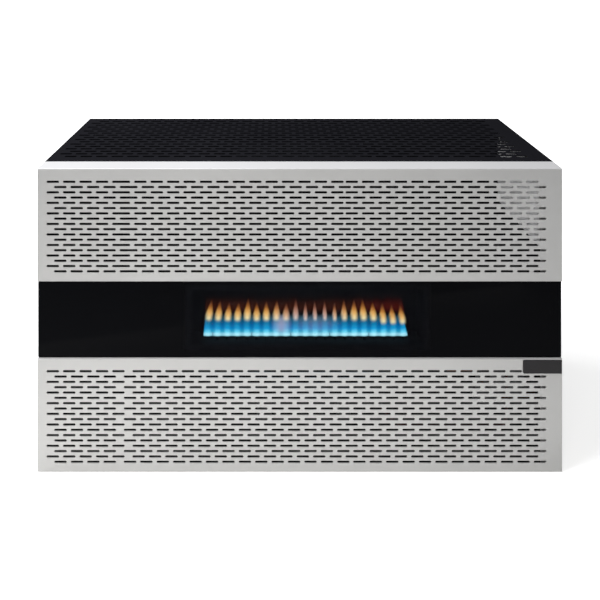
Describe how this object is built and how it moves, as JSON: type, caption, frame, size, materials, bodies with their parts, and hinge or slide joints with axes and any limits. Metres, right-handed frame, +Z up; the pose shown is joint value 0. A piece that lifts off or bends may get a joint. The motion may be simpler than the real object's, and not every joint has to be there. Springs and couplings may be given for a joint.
{
  "type": "gas heater",
  "caption": "Wall-hung room-sealed gas convector heater: perforated silver front panels, black deck, full-width dark glass band showing the flames, controls on the side.",
  "frame": {"origin": "middle of the casing's flat underside, halfway across its width and its depth", "axes": "+X to the right seen from the front, -Y out of the front, +Y towards the wall, +Z up"},
  "size_m": [0.83, 0.241, 0.462],
  "materials": {
    "silver_paint": "silver metallic stoving paint, satin",
    "black_paint": "black powder coat, satin",
    "band_glass": "tempered glass, black enamel behind, polished front",
    "badge_black": "plain black badge plate, bare",
    "hot_steel": "heat-resistant black enamel on pressed steel",
    "gasket_fibre": "grey fibre gasket",
    "clear_glass": "clear heat-resistant glass ceramic",
    "galvanised": "galvanised sheet steel",
    "stainless": "heat-tinted stainless steel",
    "brass": "machined brass",
    "copper": "drawn copper",
    "ceramic": "glazed ceramic",
    "cast_alloy": "die-cast alloy",
    "zinc_steel": "bright zinc-plated steel",
    "black_plastic": "black heat-resistant plastic",
    "control_plate_black": "black painted plate with plain marks",
    "red_plastic": "red push-button plastic",
    "lead_sleeve": "silicone-sleeved ignition lead"
  },
  "bodies": {
    "heater": {"lower_front_panel": "silver_paint", "upper_front_panel": "silver_paint", "top_deck": "black_paint", "left_side_plate": "black_paint", "right_side_plate": "black_paint", "back_plate": "black_paint", "base_plate": "black_paint", "glass_band": "band_glass", "left_front_post": "black_paint", "right_front_post": "black_paint", "badge_plate": "badge_black", "chamber_pan": "hot_steel", "chamber_front": "hot_steel", "window_gasket": "gasket_fibre", "window_glass": "clear_glass", "window_frame": "hot_steel", "chamber_left_leg": "galvanised", "chamber_right_leg": "galvanised", "flue_baffle": "hot_steel", "burner_bar": "stainless", "burner_left_bracket": "hot_steel", "burner_right_bracket": "hot_steel", "mixing_tube": "stainless", "injector": "brass", "pilot_bracket": "stainless", "pilot_burner": "brass", "thermocouple": "copper", "spark_electrode": "ceramic", "heat_liner": "galvanised", "gas_valve_body": "cast_alloy", "valve_bracket": "galvanised", "control_plate": "control_plate_black", "igniter_body": "black_plastic", "igniter_nut": "zinc_steel", "gas_inlet_pipe": "copper", "gas_inlet_union": "brass", "burner_pipe": "copper", "pilot_pipe": "copper", "thermocouple_lead": "copper", "spark_lead": "lead_sleeve", "air_box": "galvanised", "flue_pipe": "stainless", "air_collar": "galvanised", "upper_wall_rail": "galvanised", "lower_wall_rail": "galvanised", "left_lower_panel_screw": "zinc_steel", "right_lower_panel_screw": "zinc_steel", "left_upper_panel_screw": "zinc_steel", "right_upper_panel_screw": "zinc_steel", "left_lower_back_screw": "zinc_steel", "right_lower_back_screw": "zinc_steel", "left_upper_back_screw": "zinc_steel", "right_upper_back_screw": "zinc_steel"},
    "plunger": {"valve_plunger": "brass"},
    "knob": {"valve_spindle": "zinc_steel", "control_knob": "black_plastic"},
    "igniter_button": {"igniter_button": "red_plastic"}
  },
  "joints": [
    {"name": "knob_push", "type": "slide", "parent": "heater", "child": "plunger", "axis": [-1, 0, 0], "range_m": [0, 0.004], "stiffness_N_per_m": 1200, "springref_m": -0.002},
    {"name": "knob_turn", "type": "hinge", "parent": "plunger", "child": "knob", "pos_m": [0.406, -0.025, 0.115], "axis": [1, 0, 0], "range_deg": [0, 250]},
    {"name": "igniter_push", "type": "slide", "parent": "heater", "child": "igniter_button", "axis": [-1, 0, 0], "range_m": [0, 0.006], "stiffness_N_per_m": 600, "springref_m": -0.002}
  ]
}
